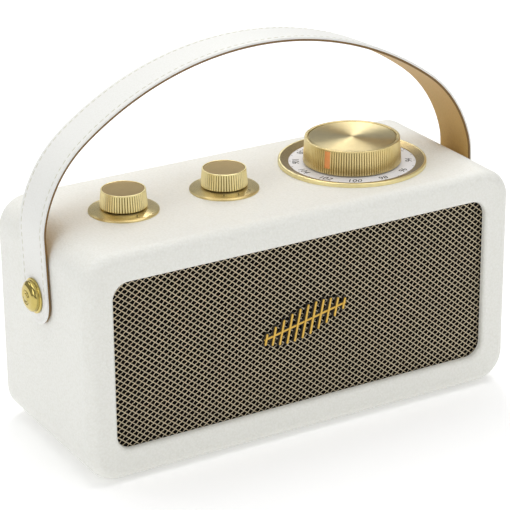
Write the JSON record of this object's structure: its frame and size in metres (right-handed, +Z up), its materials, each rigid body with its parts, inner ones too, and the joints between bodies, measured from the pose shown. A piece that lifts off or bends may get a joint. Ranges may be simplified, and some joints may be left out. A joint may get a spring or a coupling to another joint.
{
  "type": "portable radio",
  "caption": "Leather-wrapped portable tabletop radio with a woven grille, turned brass knobs, tuning dial, strap handle and folding aerial.",
  "frame": {"origin": "on the table, under the middle of the whole object's footprint", "axes": "+X to the radio's right seen from the front, the front faces -Y, +Z up"},
  "size_m": [0.2506, 0.104, 0.1888],
  "materials": {
    "leather_white": "fine pebble grain, satin",
    "leather_tan": "smooth tan strap lining",
    "brass_brushed": "brushed champagne brass",
    "brass_polished": "polished",
    "brass_mesh": "woven wire, satin",
    "dial_white": "printed white dial",
    "pointer_orange": "orange inlay",
    "wood": "bare fibreboard",
    "dark_cloth": "black dust cloth",
    "steel": "zinc plated",
    "chrome": "bright plated",
    "black_plastic": "moulded",
    "panel_plastic": "fine textured moulding",
    "circuit_board": "solder mask",
    "ferrite": "sintered magnet",
    "cone_paper": "pressed paper pulp",
    "rubber": "matte",
    "battery_wrap": "heat-shrink sleeve",
    "light_pipe": "clear light pipe"
  },
  "bodies": {
    "cabinet": {"leather_cover": "leather_white", "cabinet_shell": "wood", "front_baffle": "wood", "grille_mesh": "brass_mesh", "grille_frame": "steel", "grille_cloth": "dark_cloth", "front_badge": "brass_polished", "speaker_gasket": "rubber", "speaker_basket": "steel", "speaker_magnet": "ferrite", "speaker_yoke": "steel", "speaker_screws": "steel", "speaker_surround": "rubber", "speaker_spider": "dark_cloth", "volume_control": "steel", "mode_switch": "steel", "tuning_control": "steel", "control_nuts": "steel", "volume_bezel": "brass_brushed", "mode_bezel": "brass_brushed", "tuning_bezel": "brass_brushed", "tuning_dial": "dial_white", "main_board": "circuit_board", "board_components": "black_plastic", "board_standoffs": "brass_polished", "board_screws": "steel", "battery_holder": "black_plastic", "battery_cells": "battery_wrap", "charge_port": "steel", "aux_jack": "black_plastic", "charge_light": "light_pipe", "port_plate": "brass_brushed", "back_panel": "panel_plastic", "back_panel_screws": "steel", "aerial_bush": "chrome", "aerial_rest": "black_plastic", "rubber_feet": "rubber", "handle_studs": "brass_polished", "stud_spacers": "rubber", "stud_inserts": "brass_polished"},
    "handle": {"strap_leather": "leather_white", "strap_lining": "leather_tan"},
    "volume": {"volume_knob": "brass_brushed", "volume_shaft": "steel"},
    "mode": {"mode_knob": "brass_brushed", "mode_shaft": "steel"},
    "tuning": {"tuning_knob": "brass_brushed", "tuning_knob_cap": "brass_brushed", "tuning_pointer": "pointer_orange", "tuning_shaft": "steel"},
    "speaker_moving": {"speaker_cone": "cone_paper", "voice_coil": "brass_polished", "dust_cap": "cone_paper"},
    "aerial_swivel": {"aerial_hub": "chrome", "aerial_elbow_pin": "steel"},
    "aerial_arm": {"aerial_tube": "chrome"},
    "aerial_middle": {"aerial_middle_section": "chrome"},
    "aerial_tip": {"aerial_tip_section": "chrome"}
  },
  "joints": [
    {"name": "handle_swing", "type": "hinge", "parent": "cabinet", "child": "handle", "pos_m": [0, -0.0035, 0.0825], "axis": [1, 0, 0], "range_deg": [-31.5, 38.5]},
    {"name": "volume_turn", "type": "hinge", "parent": "cabinet", "child": "volume", "pos_m": [-0.0725, -0.0035, 0.1155], "axis": [0, 0, 1], "range_deg": [-150, 150]},
    {"name": "mode_turn", "type": "hinge", "parent": "cabinet", "child": "mode", "pos_m": [-0.018, -0.0035, 0.1155], "axis": [0, 0, 1], "range_deg": [-45, 45]},
    {"name": "tuning_turn", "type": "hinge", "parent": "cabinet", "child": "tuning", "pos_m": [0.055, -0.0035, 0.1155], "axis": [0, 0, 1], "range_deg": [-87.5, 212.5]},
    {"name": "cone_travel", "type": "slide", "parent": "cabinet", "child": "speaker_moving", "axis": [0, 1, 0], "range_m": [-0.0015, 0.0015], "stiffness_N_per_m": 600, "deforming": ["speaker_surround", "speaker_spider"]},
    {"name": "aerial_turn", "type": "hinge", "parent": "cabinet", "child": "aerial_swivel", "pos_m": [0.084, 0.0485, 0.09], "axis": [0, 1, 0], "range_deg": [0, 180]},
    {"name": "aerial_elbow", "type": "hinge", "parent": "aerial_swivel", "child": "aerial_arm", "pos_m": [0.084, 0.0485, 0.09], "axis": [0, 0, -1], "range_deg": [0, 90]},
    {"name": "aerial_pull_middle", "type": "slide", "parent": "aerial_arm", "child": "aerial_middle", "axis": [-1, 0, 0], "range_m": [0, 0.095]},
    {"name": "aerial_pull_tip", "type": "slide", "parent": "aerial_middle", "child": "aerial_tip", "axis": [-1, 0, 0], "range_m": [0, 0.09]}
  ]
}
